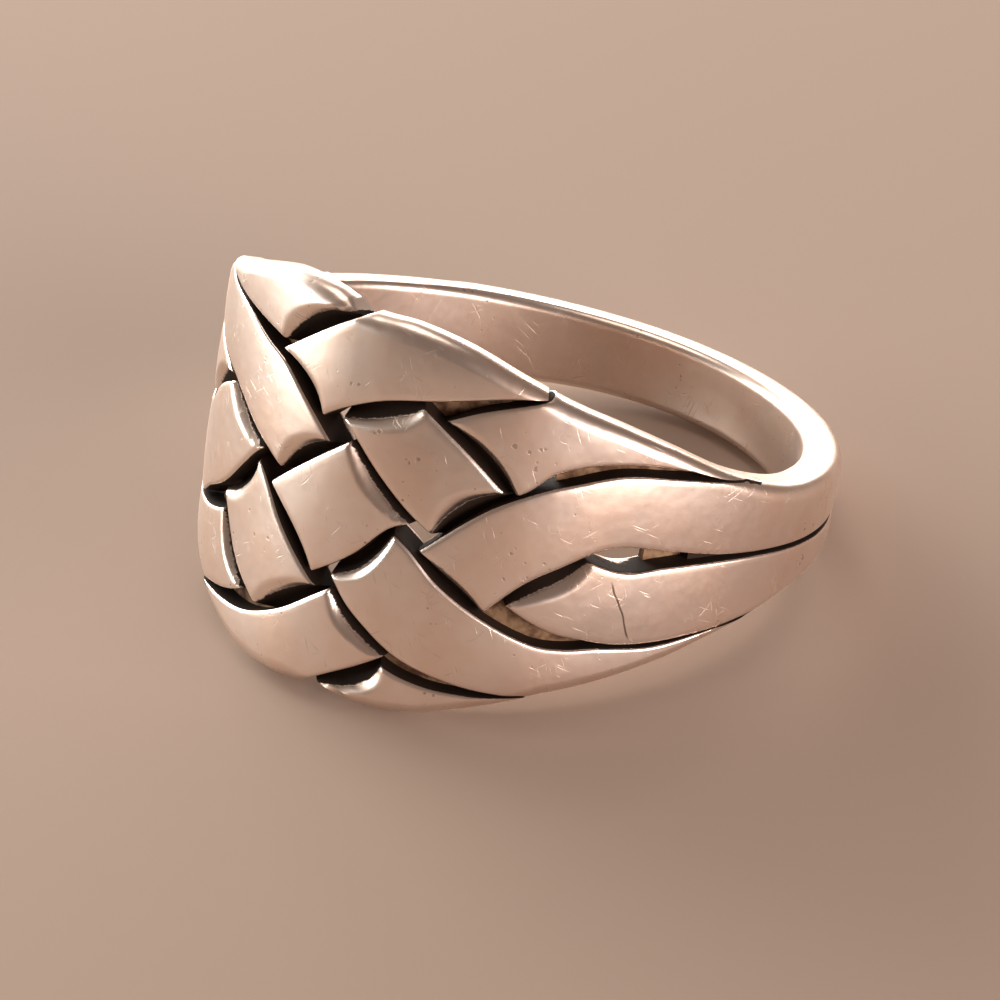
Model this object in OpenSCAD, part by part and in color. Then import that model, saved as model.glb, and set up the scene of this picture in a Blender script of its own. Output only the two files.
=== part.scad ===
// Braided band ring: one silver casting of six flat strips, woven over and under
// each other across the head and running out into a narrow plain shank.
// The ring lies on its side as it rests by itself: finger hole up, head towards -Y.

/* [Finger hole] */
// Radius of the finger hole
bore_r = 8.65; // [7:0.05:11]

/* [Head] */
// Width of the head along the finger, rim to rim
head_width = 12.2; // [11:0.1:13.5]
// Thickness of metal at the head, bore to the face of an upper strip
head_t = 1.0; // [0.9:0.05:1.5]
// Extra height of the middle of the head over its rims
crown = 0.12; // [0:0.02:0.3]
// How much fuller the left shoulder is than the right one, as a share
lean = 0.1; // [0:0.01:0.14]

/* [Strips] */
// Width of a flat strip, across its length
strip_width = 2.55; // [2.2:0.05:2.8]
// Distance round the finger between two neighbouring crossings
crossing_run = 2.72; // [2.4:0.02:3]
// How far a strip sinks where another passes over it
dip = 0.7; // [0.4:0.05:0.85]
// Length over which a strip sinks, measured from the edge of the upper strip
dip_run = 0.6; // [0.4:0.05:0.9]
// Bevel along the edges of a strip
strip_edge = 0.09; // [0.04:0.01:0.15]

/* [Shank] */
// Width of the shank at its narrowest, opposite the head
shank_width = 2.5; // [2:0.1:3.5]
// Thickness of the shank
shank_t = 1.3; // [1:0.05:1.6]
// Depth of the groove between the two strips that form the shank
groove_depth = 0.5; // [0.3:0.05:0.6]
// Bevel along the outer rims of the band
rim_edge = 0.28; // [0.1:0.02:0.36]
// Thickness of the sunk webs that close some of the gaps between strips
web_t = 0.35; // [0.25:0.05:0.5]

/* [Hidden] */

// Each piece starts at its own depth inside the finger hole, before the hole is
// bored, and lies a little lower and narrower than the piece before it, so that
// no two of them share a face
root_r = bore_r - 0.25;
root_step = 0.1;
stagger = 0.012;
// One crossing step round the finger, in degrees
step = crossing_run / (bore_r + head_t) * 180 / PI;
// Half heights along the finger: head, shank, and a strip that runs on the slant
head_half = head_width / 2;
shank_half = shank_width / 2;
// A strip's share of the head's half width, and the rise from crossing to crossing
strip_half = strip_width / 2 / cos(37.5);
rise = (head_half - 1.15 * strip_half) / 2;
// The shank's groove grows shallow from the first angle and has run out by the
// second, and its two strips sink below the face and stop by the third
groove_fade = 112;
groove_end = 134;
strip_stop = 142;
// How far their tails sink
tail_sink = 0.3;
// At the rims the strips are fused side by side: the share of a dip that is lost
// there, and the length over which it fades
fused = 0.8;
fuse_run = 0.7;
// The sunk floor of the shank's groove starts here, where the open work ends
floor_start = 4.1 * step;
// Stations per crossing step in the head, and the spacing in degrees past it
fine = 6;
coarse = 7.5;
head_stations = 28;
all_stations = head_stations + 45;
// Points across the face of a strip
face_points = 5;
// Slant of the cut ends, in degrees for each millimetre along the finger
end_slant = 3;
// Narrowest sliver of a strip that is still built
sliver = 0.03;

// The band's outline: crossing steps from the middle of the head, and the share
// of the way from the shank's half width to the head's
OUTLINE = [
    [0, 0.967], [0.6, 1], [1.25, 0.967], [1.9, 0.86], [2.5, 0.75], [3.1, 0.65],
    [3.75, 0.515], [4.4, 0.36], [5, 0.25], [5.6, 0.17], [6.3, 0.125], [7.5, 0.07],
    [9.4, 0.015], [11, 0]
];

// Each strip: crossing steps from the middle, centre line in rises, and half
// height as a share of a slanting strip's. The first three climb to the right.
UP_1 = [
    [-7, -0.42, 0.7], [-5, -0.55, 0.7], [-3.75, -0.7, 0.75], [-3.1, -0.7, 0.95],
    [-2.5, -0.25, 1.05], [-1.9, 0.15, 1.03], [-1.25, 0.9, 0.95], [-0.6, 1.55, 0.9],
    [-0.2, 1.93, 0.86], [0.35, 2.32, 0.87], [0.9, 2.53, 0.87], [2.25, 2.84, 0.8]
];
UP_2 = [
    [-5, -1.66, 0.7], [-4.4, -1.75, 0.72], [-3.75, -1.92, 0.72], [-3.1, -2.02, 0.75],
    [-2, -1.7, 0.78], [-1.4, -1.32, 0.95], [-0.6, -0.58, 1.12], [0, -0.02, 1.2],
    [0.35, 0.33, 1.17], [0.7, 0.69, 0.98], [1.1, 0.93, 0.96], [1.5, 1.2, 0.94],
    [2.1, 1.55, 0.84], [2.4, 1.8, 0.74], [3, 1.97, 0.71], [3.75, 1.93, 0.71],
    [4.4, 1.74, 0.72], [5, 1.66, 0.7]
];
UP_3 = [
    [-2.8, -3.05, 0.8], [-2.25, -3, 0.8], [-1.25, -2.87, 0.82], [-0.6, -2.53, 0.86],
    [0, -1.97, 0.89], [0.6, -1.44, 0.94], [1, -1.04, 0.97], [1.5, -0.47, 1.04],
    [1.8, -0.17, 1.06], [2.2, 0.24, 0.9], [2.5, 0.45, 0.82], [3.1, 0.75, 0.69],
    [3.75, 0.72, 0.7], [4.4, 0.63, 0.71], [5, 0.57, 0.7], [7, 0.42, 0.7]
];
// These three fall to the right
DOWN_1 = [
    [-3.5, 2.84, 0.85], [-2.85, 2.81, 0.87], [-1.25, 2.62, 0.87], [-0.6, 2.38, 0.87],
    [0, 1.9, 0.91], [0.5, 1.36, 0.94], [0.9, 1, 0.99], [1.45, 0.55, 0.96], [2.1, -0.09, 0.92],
    [2.55, -0.45, 0.82], [2.9, -0.58, 0.76], [3.3, -0.67, 0.72], [3.75, -0.62, 0.75],
    [4.4, -0.54, 0.7], [5, -0.5, 0.63], [7, -0.7, 0.66]
];
DOWN_2 = [
    [-6.2, 1.58, 0.7], [-5.3, 1.52, 0.7], [-4.55, 1.57, 0.7], [-3.75, 1.7, 0.7],
    [-3.1, 1.66, 0.7], [-2.75, 1.57, 0.66], [-2, 1.43, 0.74], [-1.35, 1.11, 0.86],
    [-1, 0.94, 0.91], [-0.65, 0.68, 0.87], [-0.2, 0.18, 0.94], [0.25, -0.48, 1.03],
    [0.6, -0.8, 1.06], [0.95, -1.06, 1.06], [1.3, -1.32, 0.9], [1.8, -1.55, 0.73],
    [2.4, -1.71, 0.56], [2.75, -1.75, 0.57], [3.1, -1.79, 0.68], [3.75, -1.77, 0.7],
    [4.55, -1.57, 0.7], [5.3, -1.52, 0.7]
];
DOWN_3 = [
    [-7, 0.7, 0.66], [-5, 0.54, 0.68], [-3.75, 0.61, 0.72], [-3.1, 0.55, 0.7],
    [-2.5, 0.4, 0.78], [-2.15, 0.2, 0.84], [-1.85, -0.15, 0.98], [-1.5, -0.64, 1.18],
    [-1.1, -1, 1.25], [-0.7, -1.41, 1.02], [-0.2, -1.85, 0.88], [0.4, -2.35, 0.87],
    [0.8, -2.71, 0.87], [1.3, -2.86, 0.87], [1.8, -2.84, 0.84], [2.5, -2.73, 0.8]
];

// Each strip with the steps it runs between and what passes over it: [path, step]
STRIPS = [
    [UP_1, -strip_stop / step, 2.15, [[DOWN_2, -1]]],
    [UP_2, -4.9, 4.9, [[DOWN_3, -1], [DOWN_1, 1]]],
    [UP_3, -2.8, strip_stop / step, [[DOWN_2, 1]]],
    [DOWN_1, -3.4, strip_stop / step, [[UP_1, 0], [UP_3, 2]]],
    [DOWN_2, -6.2, 5.2, [[UP_2, 0]]],
    [DOWN_3, -strip_stop / step, 2.45, [[UP_1, -2], [UP_3, 0]]]
];

// Sunk webs: first and last step, then lower and upper edge in rises
WEBS = [
    [1.7, 3.2, -1.55, -0.7], [2.4, 4.6, 0.95, 1.5], [0.7, 2.4, -2.35, -1.9],
    [1.6, 2.3, 1.6, 2.3], [-3.3, -2.3, 0.1, 1.1], [-4.2, -2.6, -1.6, -1.1],
    [-2.2, -0.9, -2.5, -1.9], [-2.8, -1, 1.65, 2.2], [3.6, 4.4, -0.3, 0.4]
];

// Strips, webs and the floor of the shank
pieces = len(STRIPS) + len(WEBS) + 1;

function limit(x, low, high) = min(max(x, low), high);
function ease(x) = let(t = limit(x, 0, 1)) t * t * (3 - 2 * t);

// The row of a table whose stretch holds x
function row_at(table, x, i = 0) =
    i >= len(table) - 2 || x < table[i + 1][0] ? i : row_at(table, x, i + 1);
// Slope of a column at a row, flat at the ends
function row_slope(table, i, column) =
    i <= 0 || i >= len(table) - 1 ? 0
    : (table[i + 1][column] - table[i - 1][column]) / (table[i + 1][0] - table[i - 1][0]);
// A smooth curve through a column of a table, constant past both ends
function read(table, x, column) =
    let(
        x_in = limit(x, table[0][0], table[len(table) - 1][0]),
        i = row_at(table, x_in),
        span = table[i + 1][0] - table[i][0],
        t = (x_in - table[i][0]) / span,
        start = table[i][column],
        end = table[i + 1][column],
        slope_start = row_slope(table, i, column) * span,
        slope_end = row_slope(table, i + 1, column) * span
    )
    start + t * slope_start
        + t * t * (3 * (end - start) - 2 * slope_start - slope_end)
        + t * t * t * (2 * (start - end) + slope_start + slope_end);

// Half width of the band, and thickness of its metal, at a turn in degrees
function band_half(turn) =
    (shank_half + (head_half - shank_half) * read(OUTLINE, abs(turn) / step, 1))
        * (1 - lean * sin(turn));
function band_t(turn) =
    let(head = 1 - ease((abs(turn) - 45) / 45)) shank_t + (head_t - shank_t) * head;
function face_r(turn, along) =
    let(head = 1 - ease((abs(turn) - 30) / 60), share = along / band_half(turn))
    bore_r + band_t(turn) + crown * head * (1 - share * share);

// Centre line and half height of a strip at a turn
function path_mid(path, turn) = rise * read(path, turn / step, 1);
function path_half(path, turn) = strip_half * read(path, turn / step, 2);
// Slant of a strip, as its cosine
function path_cos(path, turn) =
    let(
        rise_mm = path_mid(path, turn + 1) - path_mid(path, turn - 1),
        run_mm = 2 * PI / 180 * (bore_r + head_t)
    )
    run_mm / norm([run_mm, rise_mm]);

// Share of a dip that is left near the rims
function unfused(turn, along) =
    1 - fused * ease(1 - (band_half(turn) - abs(along)) / fuse_run);

// How far the strips passing over it press a point of a strip down
function press(overs, turn, along) =
    unfused(turn, along) * max([0, for (over = overs)
        let(
            reach = abs(turn / step - over[1]),
            near = 1 - ease((reach - 1.2) / 0.4),
            slant = path_cos(over[0], turn),
            away = abs(along - path_mid(over[0], turn)) * slant,
            half = path_half(over[0], turn) * slant
        )
        dip * near * (1 - ease((away - half + strip_edge) / dip_run))
    ]);

// A point of the band from its turn, its place along the finger and its radius
function place(turn, along, radius) =
    [radius * sin(turn), -radius * cos(turn), along];

// Stations in degrees between two turns: close together in the head, wider apart
// behind it, and shifted from piece to piece so that no two pieces share one
function grid(x) =
    let(in_head = limit(x, -head_stations, head_stations))
    in_head * step / fine + (x - in_head) * coarse;
function stations(first, last, order) =
    concat(
        [first],
        [for (i = [-all_stations:all_stations])
            let(turn = grid(i + order / pieces))
            if (turn > first + 0.5 && turn < last - 0.5) turn],
        [last]
    );

// The cross-section of a strip or web at one turn: its walls, its bevels and a face
// of several points. The two ends of a piece are cut on the slant.
function section(turn, slant, low, high, bevel_low, bevel_high, points, overs, drop, order) =
    let(
        root = root_r - root_step * order,
        wide = max(high - low, sliver),
        start = min(bevel_low, wide / 3),
        end = min(bevel_high, wide / 3),
        radius = function(along) face_r(turn, along) - drop - press(overs, turn, along),
        point = function(along, r) place(turn + slant * (along - low), along, r)
    )
    concat(
        [point(low, root), point(low, radius(low) - start)],
        [for (i = [0:points - 1])
            let(along = low + start + i / (points - 1) * (wide - start - end))
            point(along, radius(along))],
        [point(low + wide, radius(low + wide) - end), point(low + wide, root)]
    );
function slant_at(turn, first, last) =
    turn <= first ? -end_slant : turn >= last ? end_slant : 0;

// A closed solid through a list of cross-sections. Its facets are split along the
// line that the pieces crossing it follow, which falls unless rising is true.
module loft(sections, rising = false) {
    rings = len(sections);
    sides = len(sections[0]);
    walls = [for (i = [0:rings - 2], j = [0:sides - 1])
        let(a = i * sides + j, b = i * sides + (j + 1) % sides)
        each rising
            ? [[a, b, b + sides], [a, b + sides, a + sides]]
            : [[a, b, a + sides], [b, b + sides, a + sides]]];
    first_cap = [for (j = [sides - 1:-1:0]) j];
    last_cap = [for (j = [0:sides - 1]) (rings - 1) * sides + j];
    polyhedron(
        points = [for (one = sections) each one],
        faces = concat(walls, [first_cap, last_cap])
    );
}

// One strip, trimmed where it runs out past the band's rim
module strip(path, first, last, overs, order) {
    start = first * step;
    end = last * step;
    falls = path_mid(path, step) < path_mid(path, -step);
    loft([for (turn = stations(start, end, order))
        let(
            edge = band_half(turn) - stagger * order,
            tail = ease((abs(turn) - groove_end + 5) / (strip_stop - groove_end + 5)),
            low = path_mid(path, turn) - path_half(path, turn),
            high = path_mid(path, turn) + path_half(path, turn)
        )
        section(turn, slant_at(turn, start, end),
            limit(low, -edge, edge - sliver), limit(high, -edge + sliver, edge),
            low < -edge ? rim_edge : strip_edge, high > edge ? rim_edge : strip_edge,
            face_points, overs, stagger * order + tail_sink * tail, order)], falls);
}

// A sunk web between strips
module web(first, last, low, high, order) {
    start = first * step;
    end = last * step;
    loft([for (turn = stations(start, end, order))
        let(edge = band_half(turn) - rim_edge - stagger * order)
        section(turn, slant_at(turn, start, end),
            limit(low * rise, -edge, edge), limit(high * rise, -edge, edge),
            strip_edge, strip_edge, 2, [],
            band_t(turn) - web_t + stagger * order, order)]);
}

// The shank's floor: under its two strips at first, then up to the full face
// where the groove between them ends
module shank() {
    loft([for (turn = stations(floor_start, 360 - floor_start, 0))
        let(
            side = turn > 180 ? turn - 360 : turn,
            risen = ease((abs(side) - groove_fade) / (groove_end - groove_fade)),
            edge = band_half(side) - 9 * stagger * (1 - risen)
        )
        section(side, slant_at(turn, floor_start, 360 - floor_start), -edge, edge,
            rim_edge, rim_edge, 3, [], groove_depth * (1 - risen), 0)]);
}

// Everything before the finger hole is bored, stretched by a hair to the stated
// outside width, which its flat facets fall short of
module band() {
    resize([2 * (bore_r + shank_t), 0, 0]) union() {
        for (i = [0:len(STRIPS) - 1])
            strip(STRIPS[i][0], STRIPS[i][1], STRIPS[i][2], STRIPS[i][3], i + 1);
        for (i = [0:len(WEBS) - 1])
            web(WEBS[i][0], WEBS[i][1], WEBS[i][2], WEBS[i][3], len(STRIPS) + 1 + i);
        shank();
    }
}

// The ring with its finger along Z and the middle of the head at -Y
module upright_ring() {
    difference() {
        band();
        cylinder(h = head_width + 4, r = bore_r, center = true, $fn = 180);
    }
}

// At rest the lower rim of the head touches at two points, a crossing step to each
// side of its middle, and the shank at one point nearly opposite
back_turn = 165;
touch_left = place(-step, -band_half(-step), bore_r);
touch_right = place(step, -band_half(step), bore_r);
touch_back = place(back_turn, -band_half(back_turn), bore_r + shank_t - rim_edge);
floor_cross = cross(touch_right - touch_back, touch_left - touch_back);
floor_up = floor_cross / norm(floor_cross) * sign(floor_cross[2]);
rest_tilt = acos(floor_up[2]);
rest_axis = cross(floor_up, [0, 0, 1]);
rest_height = -touch_back * floor_up;
// Half way from the foot of the head to the back of the shank, along the floor
front_y = -(bore_r + head_t) * cos(rest_tilt) - head_half * sin(rest_tilt);
back_y = (bore_r + shank_t) * cos(rest_tilt) + shank_half * sin(rest_tilt);

module braided_ring() {
    color("silver")
        translate([0, -(front_y + back_y) / 2, rest_height])
            rotate(a = rest_tilt, v = rest_axis)
                upright_ring();
}

braided_ring();
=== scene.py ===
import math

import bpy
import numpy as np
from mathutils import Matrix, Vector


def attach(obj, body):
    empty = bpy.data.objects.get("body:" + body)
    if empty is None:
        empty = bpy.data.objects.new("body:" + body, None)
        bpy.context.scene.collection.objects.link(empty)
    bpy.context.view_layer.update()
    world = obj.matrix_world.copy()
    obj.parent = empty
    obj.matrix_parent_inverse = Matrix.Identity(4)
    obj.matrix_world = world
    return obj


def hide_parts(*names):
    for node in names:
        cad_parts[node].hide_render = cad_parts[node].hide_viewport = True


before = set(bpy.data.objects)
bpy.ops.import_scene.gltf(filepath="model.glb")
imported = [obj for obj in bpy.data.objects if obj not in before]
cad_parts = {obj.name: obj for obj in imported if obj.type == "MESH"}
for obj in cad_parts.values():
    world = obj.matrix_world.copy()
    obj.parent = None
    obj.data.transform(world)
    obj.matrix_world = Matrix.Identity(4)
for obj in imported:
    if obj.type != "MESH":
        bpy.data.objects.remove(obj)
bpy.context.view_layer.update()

# %% [markdown]
# # A braided band ring, cast in silver
#
# The real ring is one casting. A maker lays six flat strips over and under each other
# across a broad head, lets them run together into a narrow shank, and casts the whole
# thing in one pour. The finger hole is then turned smooth and the outside polished, and
# dark residue stays wherever the polishing wheel cannot reach.
#
# In Blender the ring is made the same way round. The strips are drawn flat first, as a
# jeweller would draw them on an unrolled band, then wrapped round the finger, melted
# together and bored. Sizes are in millimetres, and `MM` turns them into metres.

MM = 0.001

# %% [markdown]
# ## The sizes
#
# These are the named sizes of the solid model, repeated so that the looks fit it exactly.
# A ring has few of them: the hole, the head, the strips and the shank.

# %% Sizes of the ring
BORE_R = 8.65
HEAD_WIDTH, HEAD_T, CROWN, LEAN = 12.2, 1.0, 0.12, 0.1
STRIP_WIDTH, CROSSING_RUN, DIP, DIP_RUN, STRIP_EDGE = 2.55, 2.72, 0.7, 0.6, 0.09
SHANK_WIDTH, SHANK_T, GROOVE_DEPTH, RIM_EDGE, WEB_T = 2.5, 1.3, 0.5, 0.28, 0.35

HEAD_HALF = HEAD_WIDTH / 2
SHANK_HALF = SHANK_WIDTH / 2
STEP = math.degrees(CROSSING_RUN / (BORE_R + HEAD_T))
STRIP_HALF = STRIP_WIDTH / 2 / math.cos(math.radians(37.5))
RISE = (HEAD_HALF - 1.15 * STRIP_HALF) / 2
print("one crossing step is", round(STEP, 2), "degrees, and rises", round(RISE, 2), "mm")

# %% [markdown]
# ## Where the strips run
#
# Each row gives a place round the finger in crossing steps, then the strip's centre line
# in rises from crossing to crossing, then its half width as a share of a slanting
# strip's. Three strips climb to the right and three fall. `OUTLINE` says how much of the
# head's width the band still has at a distance from the middle.

# %% Tables of the outline and the six strips
OUTLINE = [
    [0, 0.967], [0.6, 1], [1.25, 0.967], [1.9, 0.86], [2.5, 0.75], [3.1, 0.65],
    [3.75, 0.515], [4.4, 0.36], [5, 0.25], [5.6, 0.17], [6.3, 0.125], [7.5, 0.07],
    [9.4, 0.015], [11, 0],
]
UP_1 = [
    [-7, -0.42, 0.7], [-5, -0.55, 0.7], [-3.75, -0.7, 0.75], [-3.1, -0.7, 0.95],
    [-2.5, -0.25, 1.05], [-1.9, 0.15, 1.03], [-1.25, 0.9, 0.95], [-0.6, 1.55, 0.9],
    [-0.2, 1.93, 0.86], [0.35, 2.32, 0.87], [0.9, 2.53, 0.87], [2.25, 2.84, 0.8],
]
UP_2 = [
    [-5, -1.66, 0.7], [-4.4, -1.75, 0.72], [-3.75, -1.92, 0.72], [-3.1, -2.02, 0.75],
    [-2, -1.7, 0.78], [-1.4, -1.32, 0.95], [-0.6, -0.58, 1.12], [0, -0.02, 1.2],
    [0.35, 0.33, 1.17], [0.7, 0.69, 0.98], [1.1, 0.93, 0.96], [1.5, 1.2, 0.94],
    [2.1, 1.55, 0.84], [2.4, 1.8, 0.74], [3, 1.97, 0.71], [3.75, 1.93, 0.71],
    [4.4, 1.74, 0.72], [5, 1.66, 0.7],
]
UP_3 = [
    [-2.8, -3.05, 0.8], [-2.25, -3, 0.8], [-1.25, -2.87, 0.82], [-0.6, -2.53, 0.86],
    [0, -1.97, 0.89], [0.6, -1.44, 0.94], [1, -1.04, 0.97], [1.5, -0.47, 1.04],
    [1.8, -0.17, 1.06], [2.2, 0.24, 0.9], [2.5, 0.45, 0.82], [3.1, 0.75, 0.69],
    [3.75, 0.72, 0.7], [4.4, 0.63, 0.71], [5, 0.57, 0.7], [7, 0.42, 0.7],
]
DOWN_1 = [
    [-3.5, 2.84, 0.85], [-2.85, 2.81, 0.87], [-1.25, 2.62, 0.87], [-0.6, 2.38, 0.87],
    [0, 1.9, 0.91], [0.5, 1.36, 0.94], [0.9, 1, 0.99], [1.45, 0.55, 0.96], [2.1, -0.09, 0.92],
    [2.55, -0.45, 0.82], [2.9, -0.58, 0.76], [3.3, -0.67, 0.72], [3.75, -0.62, 0.75],
    [4.4, -0.54, 0.7], [5, -0.5, 0.63], [7, -0.7, 0.66],
]
DOWN_2 = [
    [-6.2, 1.58, 0.7], [-5.3, 1.52, 0.7], [-4.55, 1.57, 0.7], [-3.75, 1.7, 0.7],
    [-3.1, 1.66, 0.7], [-2.75, 1.57, 0.66], [-2, 1.43, 0.74], [-1.35, 1.11, 0.86],
    [-1, 0.94, 0.91], [-0.65, 0.68, 0.87], [-0.2, 0.18, 0.94], [0.25, -0.48, 1.03],
    [0.6, -0.8, 1.06], [0.95, -1.06, 1.06], [1.3, -1.32, 0.9], [1.8, -1.55, 0.73],
    [2.4, -1.71, 0.56], [2.75, -1.75, 0.57], [3.1, -1.79, 0.68], [3.75, -1.77, 0.7],
    [4.55, -1.57, 0.7], [5.3, -1.52, 0.7],
]
DOWN_3 = [
    [-7, 0.7, 0.66], [-5, 0.54, 0.68], [-3.75, 0.61, 0.72], [-3.1, 0.55, 0.7],
    [-2.5, 0.4, 0.78], [-2.15, 0.2, 0.84], [-1.85, -0.15, 0.98], [-1.5, -0.64, 1.18],
    [-1.1, -1, 1.25], [-0.7, -1.41, 1.02], [-0.2, -1.85, 0.88], [0.4, -2.35, 0.87],
    [0.8, -2.71, 0.87], [1.3, -2.86, 0.87], [1.8, -2.84, 0.84], [2.5, -2.73, 0.8],
]
print("rows in the tables:", sum(len(t) for t in (UP_1, UP_2, UP_3, DOWN_1, DOWN_2, DOWN_3)))

# %% [markdown]
# The weave itself is one short list: every strip, the steps it runs between, and which
# strips pass over it where. Then come the sunk webs, thin floors left in some of the
# gaps by the casting. One gap under the upper rim is open in the metal, but old wax and
# dirt fill it, so `RESIDUE` closes it in the same way.

# %% The weave and the sunk webs
GROOVE_FADE, GROOVE_END, STRIP_STOP, TAIL_SINK = 112, 134, 142, 0.3
FLOOR_START = 4.1 * STEP
STRIPS = [
    (UP_1, -STRIP_STOP / STEP, 2.15, [(DOWN_2, -1)]),
    (UP_2, -4.9, 4.9, [(DOWN_3, -1), (DOWN_1, 1)]),
    (UP_3, -2.8, STRIP_STOP / STEP, [(DOWN_2, 1)]),
    (DOWN_1, -3.4, STRIP_STOP / STEP, [(UP_1, 0), (UP_3, 2)]),
    (DOWN_2, -6.2, 5.2, [(UP_2, 0)]),
    (DOWN_3, -STRIP_STOP / STEP, 2.45, [(UP_1, -2), (UP_3, 0)]),
]
WEBS = [
    (1.7, 3.2, -1.55, -0.7), (2.4, 4.6, 0.95, 1.5), (0.7, 2.4, -2.35, -1.9),
    (1.6, 2.3, 1.6, 2.3), (-3.3, -2.3, 0.1, 1.1), (-4.2, -2.6, -1.6, -1.1),
    (-2.2, -0.9, -2.5, -1.9), (-2.8, -1, 1.65, 2.2), (3.6, 4.4, -0.3, 0.4),
]
RESIDUE = [(0.85, 1.65, 1.55, 2.15)]
STAGGER = 0.006
SLIVER = 0.03
WORN_RIM = 0.46
print(len(STRIPS), "strips and", len(WEBS), "webs")

# %% [markdown]
# ## Reading the tables
#
# A table becomes a smooth curve: between two rows it follows a cubic whose slope at each
# row is taken from the rows on either side, so a strip bends like a bent strip of metal
# and not like a folded one.

# %% Smooth curves through a table
def ease(x):
    t = np.clip(x, 0, 1)
    return t * t * (3 - 2 * t)


def read(table, x, column):
    rows = np.array(table, float)
    knots, values = rows[:, 0], rows[:, column]
    slopes = np.zeros(len(knots))
    slopes[1:-1] = (values[2:] - values[:-2]) / (knots[2:] - knots[:-2])
    x = np.clip(x, knots[0], knots[-1])
    i = np.clip(np.searchsorted(knots, x, side="right") - 1, 0, len(knots) - 2)
    span = knots[i + 1] - knots[i]
    t = (x - knots[i]) / span
    start, end = values[i], values[i + 1]
    slope_start, slope_end = slopes[i] * span, slopes[i + 1] * span
    return (start + t * slope_start
            + t * t * (3 * (end - start) - 2 * slope_start - slope_end)
            + t * t * t * (2 * (start - end) + slope_start + slope_end))


def band_half(turn):
    share = read(OUTLINE, np.abs(turn) / STEP, 1)
    return (SHANK_HALF + (HEAD_HALF - SHANK_HALF) * share) * (1 - LEAN * np.sin(np.radians(turn)))


def path_mid(path, turn):
    return RISE * read(path, turn / STEP, 1)


def path_half(path, turn):
    return STRIP_HALF * read(path, turn / STEP, 2)


print("band half width at the head, shoulder and shank:",
      [round(float(band_half(np.array(t))), 2) for t in (0.0, 60.0, 180.0)])

# %% [markdown]
# A strip sinks where another passes over it. `press` is 1 right under the upper strip
# and eases to 0 a little way past its edge. Only the crossing at hand counts, within
# `NEAR` steps. At the rims the strips are fused side by side, so a dip fades out there.

# %% How far a strip is pressed down
FUSED, FUSE_RUN = 0.8, 0.7
NEAR, NEAR_FADE = 1.2, 0.4


def signed(turn):
    return (turn + 180) % 360 - 180


def path_cos(path, turn):
    rise = path_mid(path, turn + 1) - path_mid(path, turn - 1)
    run = 2 * math.radians(1) * (BORE_R + HEAD_T)
    return run / np.hypot(run, rise)


def press(overs, turn, along, run=DIP_RUN):
    most = np.zeros(np.broadcast(turn, along).shape)
    for over, where in overs:
        near = 1 - ease((np.abs(turn / STEP - where) - NEAR) / NEAR_FADE)
        slant = path_cos(over, turn)
        away = np.abs(along - path_mid(over, turn)) * slant
        half = path_half(over, turn) * slant
        most = np.maximum(most, near * (1 - ease((away - half + STRIP_EDGE) / run)))
    to_rim = band_half(signed(turn)) - np.abs(along)
    return most * (1 - FUSED * ease(1 - to_rim / FUSE_RUN))


crossings = STEP * np.array([-1.0, 0.0, 1.0])
print("press of the middle strip at its own crossings:",
      press([(DOWN_3, -1), (DOWN_1, 1)], crossings, path_mid(UP_2, crossings)).round(2))

# %% [markdown]
# ## The unrolled band
#
# Every strip and web is drawn as a closed ribbon on a flat chart: across is the turn
# round the finger, up is the place along it. A point of the chart carries what the
# wrapping needs to know: how far round it is, whether it is on the outer skin, and how
# far it lies below the smooth face there. The edges are rounded with a few narrow rows,
# because a polished edge is what catches the light on a silver ring.
#
# A ribbon has a skirt just under its edges and a root inside the hole, which the boring
# takes away. It is drawn station by station. Where another strip crosses over it, the stations
# lie on the slant, side by side with that strip's edge, so that the fold into the dip
# runs along them and stays smooth. A dip reaches further in the middle of a strip than at
# its edges, like the mark of a thumb. Near a rim all pieces share the rim's rounding.

# %% Stations along a ribbon and their slant
chart = {"turn": [], "along": [], "rim": [], "skin": [], "below": [], "press": [], "inset": []}
chart_faces, chart_piece = [], []
FACE_ROWS, EDGE_ROWS, BELLY = 16, 4, 0.045
THUMB_EDGE, THUMB_UP, THUMB_DOWN = 0.65, 1.35, 1.65
SKIRT, ROOT_DEPTH, ROOT_STEP = 0.12, 0.2, 0.02
SETTLING_ROUNDS, EDGES_AT_MOST, WIDE_STRIP = 14, 0.8, 2.5
GOLDEN_SHARE, CHART_ENDS = 0.618, 200
IN_HEAD, BEHIND, HEAD_REACH = 0.5, 1.5, 75


def stations(first, last, piece):
    count = int(HEAD_REACH / IN_HEAD)
    steps = np.arange(-count - CHART_ENDS, count + CHART_ENDS + 1) + (piece * GOLDEN_SHARE) % 1
    head = np.clip(steps, -count, count)
    turns = head * IN_HEAD + (steps - head) * BEHIND
    inside = turns[(turns > first + 0.2) & (turns < last - 0.2)]
    return np.concatenate([[first], inside, [last]])


def slant_for(overs, turns):
    """Degrees of turn for each millimetre along the finger, as the strips above run."""
    total, weights = np.zeros(len(turns)), np.zeros(len(turns))
    for over, where in overs:
        at = where * STEP
        climb = (path_mid(over, np.array(at + 2)) - path_mid(over, np.array(at - 2))) / 4
        weight = 1 - ease((np.abs(turns / STEP - where) - 0.5) / 2)
        total += weight / climb
        weights += weight
    return total / np.maximum(weights, 1)


print("slant where the first strip is crossed:",
      slant_for([(DOWN_2, -1)], np.array([-STEP])).round(2), "degrees for each mm")


# %% A closed ribbon
def chart_size():
    return sum(len(part) for part in chart["turn"])


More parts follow.
